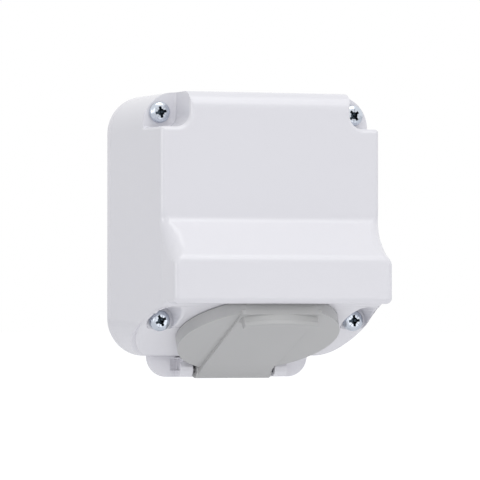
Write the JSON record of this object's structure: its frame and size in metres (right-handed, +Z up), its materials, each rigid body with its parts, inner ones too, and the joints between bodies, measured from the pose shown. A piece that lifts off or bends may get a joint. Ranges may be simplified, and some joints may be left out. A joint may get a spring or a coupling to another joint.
{
  "type": "waterproof wall socket",
  "caption": "Surface-mounted weatherproof wall socket with a deep stepped cover on a low back box and a round sprung lid on its slanted underside.",
  "frame": {"origin": "middle of the back box's flat back, where it meets the wall", "axes": "+Y into the wall, +Z up, +X to the right as seen from the front"},
  "size_m": [0.1, 0.0676, 0.1117],
  "materials": {
    "cool_white_plastic": "cool white moulded plastic, satin",
    "grey_plastic": "mid grey moulded plastic, satin",
    "dark_thermoset": "dark moulded thermoset",
    "black_rubber": "soft black rubber",
    "zinc_plated_steel": "bright zinc plate with a bluish tint",
    "spring_steel": "plain drawn spring steel",
    "brass": "plain stamped brass"
  },
  "bodies": {
    "housing": {"back_box": "cool_white_plastic", "front_cover": "cool_white_plastic", "cover_gasket": "black_rubber", "cover_screw_top_left": "zinc_plated_steel", "cover_screw_top_right": "zinc_plated_steel", "cover_screw_bottom_left": "zinc_plated_steel", "cover_screw_bottom_right": "zinc_plated_steel", "cable_grommet": "black_rubber", "socket_cup": "grey_plastic", "flange_gasket": "black_rubber", "flange_screw_1": "zinc_plated_steel", "flange_screw_2": "zinc_plated_steel", "flange_screw_3": "zinc_plated_steel", "flange_screw_4": "zinc_plated_steel", "centre_screw": "zinc_plated_steel", "contact_carrier": "dark_thermoset", "live_contact": "brass", "neutral_contact": "brass", "earth_strap": "brass", "live_terminal_screw": "zinc_plated_steel", "neutral_terminal_screw": "zinc_plated_steel", "earth_terminal_screw": "zinc_plated_steel", "hinge_pin": "spring_steel", "lid_spring": "spring_steel"},
    "lid": {"socket_lid": "grey_plastic", "lid_seal": "black_rubber"}
  },
  "joints": [
    {"name": "lid_hinge", "type": "hinge", "parent": "housing", "child": "lid", "pos_m": [0, -0.0068, -0.0568], "axis": [1, 0, 0], "range_deg": [0, 105], "stiffness_Nm_per_rad": 0.012, "springref_deg": -45.84, "deforming": ["lid_spring"]}
  ]
}
